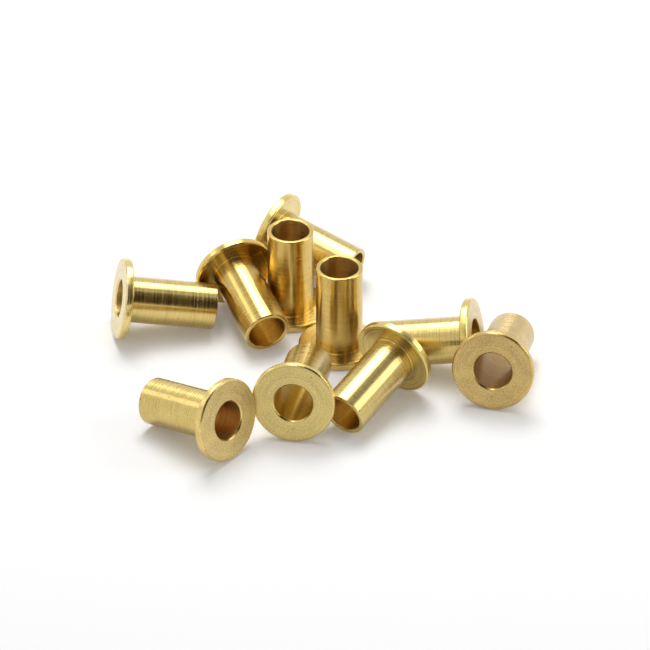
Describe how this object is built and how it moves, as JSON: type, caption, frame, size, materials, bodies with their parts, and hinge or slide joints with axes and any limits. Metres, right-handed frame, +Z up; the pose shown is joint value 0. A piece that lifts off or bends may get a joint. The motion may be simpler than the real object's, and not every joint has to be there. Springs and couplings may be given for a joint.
{
  "type": "flanged sleeve bushing",
  "caption": "Loose heap of flanged sleeve bushings: thin turned tubes with a through bore and a flat round flange at one end, some standing on the flange and others lying.",
  "frame": {"origin": "on the bench plane, under the middle of the box round all the sleeves", "axes": "+Z up from the bench, +X and +Y along the bench: +Y from the three sleeves that lie in front to the one that lies at the back, +X from the left pair to the right pair"},
  "size_m": [0.073, 0.07, 0.0167],
  "materials": {
    "turned_brass": "fine turned, satin faces",
    "dulled_brass": "turned, dulled by handling"
  },
  "bodies": {
    "standing_sleeve_front": {"standing_sleeve_front": "turned_brass"},
    "standing_sleeve_back": {"standing_sleeve_back": "turned_brass"},
    "rear_sleeve": {"rear_sleeve": "turned_brass"},
    "inner_left_sleeve": {"inner_left_sleeve": "turned_brass"},
    "outer_left_sleeve": {"outer_left_sleeve": "turned_brass"},
    "inner_right_sleeve": {"inner_right_sleeve": "turned_brass"},
    "outer_right_sleeve": {"outer_right_sleeve": "dulled_brass"},
    "open_front_sleeve": {"open_front_sleeve": "turned_brass"},
    "middle_front_sleeve": {"middle_front_sleeve": "turned_brass"},
    "left_front_sleeve": {"left_front_sleeve": "dulled_brass"}
  },
  "joints": [
    {"name": "standing_sleeve_front_lift", "type": "slide", "parent": "standing_sleeve_back", "child": "standing_sleeve_front", "axis": [0, 0, 1], "range_m": [0, 0.03]},
    {"name": "rear_sleeve_lift", "type": "slide", "parent": "standing_sleeve_back", "child": "rear_sleeve", "axis": [0, 0, 1], "range_m": [0, 0.03]},
    {"name": "inner_left_sleeve_lift", "type": "slide", "parent": "standing_sleeve_back", "child": "inner_left_sleeve", "axis": [0, 0, 1], "range_m": [0, 0.03]},
    {"name": "outer_left_sleeve_lift", "type": "slide", "parent": "standing_sleeve_back", "child": "outer_left_sleeve", "axis": [-0.171, -0.4698, 0.866], "range_m": [0, 0.03]},
    {"name": "inner_right_sleeve_lift", "type": "slide", "parent": "standing_sleeve_back", "child": "inner_right_sleeve", "axis": [-0.0868, 0.4924, 0.866], "range_m": [0, 0.03]},
    {"name": "outer_right_sleeve_lift", "type": "slide", "parent": "standing_sleeve_back", "child": "outer_right_sleeve", "axis": [0, 0, 1], "range_m": [0, 0.03]},
    {"name": "open_front_sleeve_lift", "type": "slide", "parent": "standing_sleeve_back", "child": "open_front_sleeve", "axis": [0.3214, -0.383, 0.866], "range_m": [0, 0.03]},
    {"name": "middle_front_sleeve_lift", "type": "slide", "parent": "standing_sleeve_back", "child": "middle_front_sleeve", "axis": [-0.0594, 0.1632, 0.9848], "range_m": [0, 0.03]},
    {"name": "left_front_sleeve_lift", "type": "slide", "parent": "standing_sleeve_back", "child": "left_front_sleeve", "axis": [0, 0, 1], "range_m": [0, 0.03]}
  ]
}
